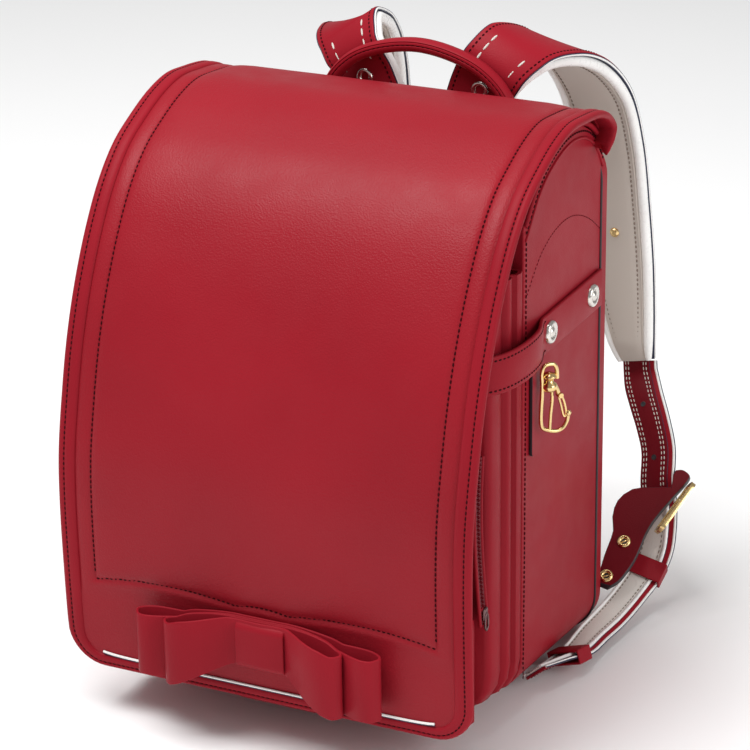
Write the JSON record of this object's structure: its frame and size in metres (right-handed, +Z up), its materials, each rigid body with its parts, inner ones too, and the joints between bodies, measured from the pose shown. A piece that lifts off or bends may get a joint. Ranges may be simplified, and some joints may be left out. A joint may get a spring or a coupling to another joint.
{
  "type": "school satchel backpack",
  "caption": "Hard red leather school satchel with a long curved flap, a bow on the flap, a zipped pocket, side hooks, a top handle and two padded shoulder straps.",
  "frame": {"origin": "middle of the footprint box, on the floor that the bag stands on", "axes": "+Z up, -Y the flap's front, +Y the side that lies on the wearer's back, +X the wearer's right"},
  "size_m": [0.3332, 0.369, 0.3919],
  "materials": {
    "leather": "smooth glossy-grained coated leather in deep red",
    "dark_leather": "dark red leather, cut edges painted black",
    "cream_lining": "soft off-white padded lining leather",
    "white_piping": "glossy white piping",
    "gold_metal": "polished pale gold plating",
    "silver_metal": "polished nickel plating"
  },
  "bodies": {
    "bag": {"main_body": "leather", "back_panel": "leather", "small_compartment": "leather", "front_pocket": "leather", "flap": "leather", "flap_panel": "leather", "flap_binding": "leather", "bow_back_loops": "leather", "bow_front_loops": "leather", "bow_knot": "leather", "handle": "leather", "strap_anchor": "leather", "strap_leather_r": "leather", "strap_leather_l": "leather", "lower_strap_r": "leather", "lower_strap_l": "leather", "keeper_upper_r": "leather", "keeper_upper_l": "leather", "keeper_lower_r": "leather", "keeper_lower_l": "leather", "daruma_r": "leather", "daruma_l": "leather", "cinch_belt": "leather", "lock_tongue": "leather", "pocket_zipper": "dark_leather", "hook_tab_r": "dark_leather", "hook_tab_l": "dark_leather", "back_pad": "cream_lining", "strap_padding_r": "cream_lining", "strap_padding_l": "cream_lining", "bottom_piping": "white_piping", "zip_slider": "gold_metal", "daruma_eyelet_low_r": "gold_metal", "daruma_eyelet_low_l": "gold_metal", "daruma_eyelet_high_r": "gold_metal", "daruma_eyelet_high_l": "gold_metal", "buckle_frame_r": "gold_metal", "buckle_frame_l": "gold_metal", "buckle_prong_r": "gold_metal", "buckle_prong_l": "gold_metal", "hook_body_r": "gold_metal", "hook_body_l": "gold_metal", "lock_body": "gold_metal", "strap_stud_r": "gold_metal", "strap_stud_l": "gold_metal", "belt_rivet_1_r": "silver_metal", "belt_rivet_1_l": "silver_metal", "belt_rivet_2_r": "silver_metal", "belt_rivet_2_l": "silver_metal", "strap_eyelet_r": "silver_metal", "strap_eyelet_l": "silver_metal"},
    "gate_r": {"hook_gate_r": "gold_metal"},
    "gate_l": {"hook_gate_l": "gold_metal"}
  },
  "joints": [
    {"name": "gate_r_hinge", "type": "hinge", "parent": "bag", "child": "gate_r", "pos_m": [0.13832, -0.03824, 0.2047], "axis": [-0.766, 0.6428, 0], "range_deg": [0, 18], "stiffness_Nm_per_rad": 0.001, "springref_deg": -11.46},
    {"name": "gate_l_hinge", "type": "hinge", "parent": "bag", "child": "gate_l", "pos_m": [-0.13832, -0.03824, 0.2047], "axis": [-0.766, -0.6428, 0], "range_deg": [0, 18], "stiffness_Nm_per_rad": 0.001, "springref_deg": -11.46}
  ]
}
